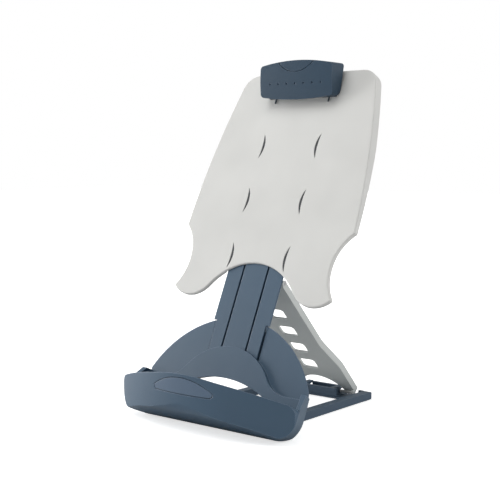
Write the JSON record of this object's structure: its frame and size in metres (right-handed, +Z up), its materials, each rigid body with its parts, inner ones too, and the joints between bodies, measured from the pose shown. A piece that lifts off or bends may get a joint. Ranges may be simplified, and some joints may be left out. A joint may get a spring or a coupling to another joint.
{
  "type": "desk copy holder",
  "caption": "Desk copy holder: a sliding sheet panel on a leaning mast, a base with a bowed ledge, a spring clip at the top, and a swing-out leg on a folding stay.",
  "frame": {"origin": "centre of the footprint's bounding box, on the desk", "axes": "+Z up, +X to the reader's right, +Y away from the reader, so the sheet faces -Y"},
  "size_m": [0.223, 0.2434, 0.3676],
  "materials": {
    "slate_plastic": "fine matt texture",
    "badge_plastic": "satin, left bare",
    "panel_plastic": "fine matt texture",
    "clip_plastic": "satin",
    "leg_plastic": "fine matt texture",
    "light_plastic": "smooth",
    "dark_slate_plastic": "fine matt texture",
    "rubber": "matt",
    "steel": "zinc plated"
  },
  "bodies": {
    "base": {"base_shell": "slate_plastic", "badge_insert": "badge_plastic", "base_back_cover": "slate_plastic", "base_cover_screws": "steel", "base_feet": "rubber", "mast": "slate_plastic", "mast_cover": "slate_plastic", "mast_screws": "steel", "leg_pivot_pin": "steel"},
    "panel": {"copy_panel": "panel_plastic", "glide_caps": "panel_plastic", "friction_pads": "rubber", "slit_liners": "dark_slate_plastic", "clip_bracket": "steel", "clip_pin": "steel", "clip_spring": "steel", "clip_screws": "steel"},
    "clip_jaw": {"clip_cover": "clip_plastic", "clip_pad": "rubber"},
    "leg": {"leg": "leg_plastic", "leg_pivot_bushes": "light_plastic", "leg_foot_pins": "light_plastic"},
    "stay": {"stay_frame": "dark_slate_plastic", "foot_cradle": "dark_slate_plastic", "cradle_screws": "steel", "stay_hinge_pins": "steel", "stay_feet": "rubber"}
  },
  "joints": [
    {"name": "panel_height", "type": "slide", "parent": "base", "child": "panel", "axis": [0, 0.4226, 0.9063], "range_m": [-0.088, 0]},
    {"name": "clip_press", "type": "hinge", "parent": "panel", "child": "clip_jaw", "pos_m": [0, 0.0724, 0.34415], "axis": [-1, 0, 0], "range_deg": [0, 14], "stiffness_Nm_per_rad": 0.3, "springref_deg": -20.05},
    {"name": "leg_swing", "type": "hinge", "parent": "base", "child": "leg", "pos_m": [0, 0.00112, 0.13686], "axis": [1, 0, 0], "range_deg": [0, 112]},
    {"name": "stay_fold", "type": "hinge", "parent": "base", "child": "stay", "pos_m": [0, -0.05627, 0.00716], "axis": [1, 0, 0], "range_deg": [0, 58.1]}
  ],
  "couplings": [
    {"joint": "stay_fold", "follows": "leg_swing", "ratio": 0.518}
  ]
}
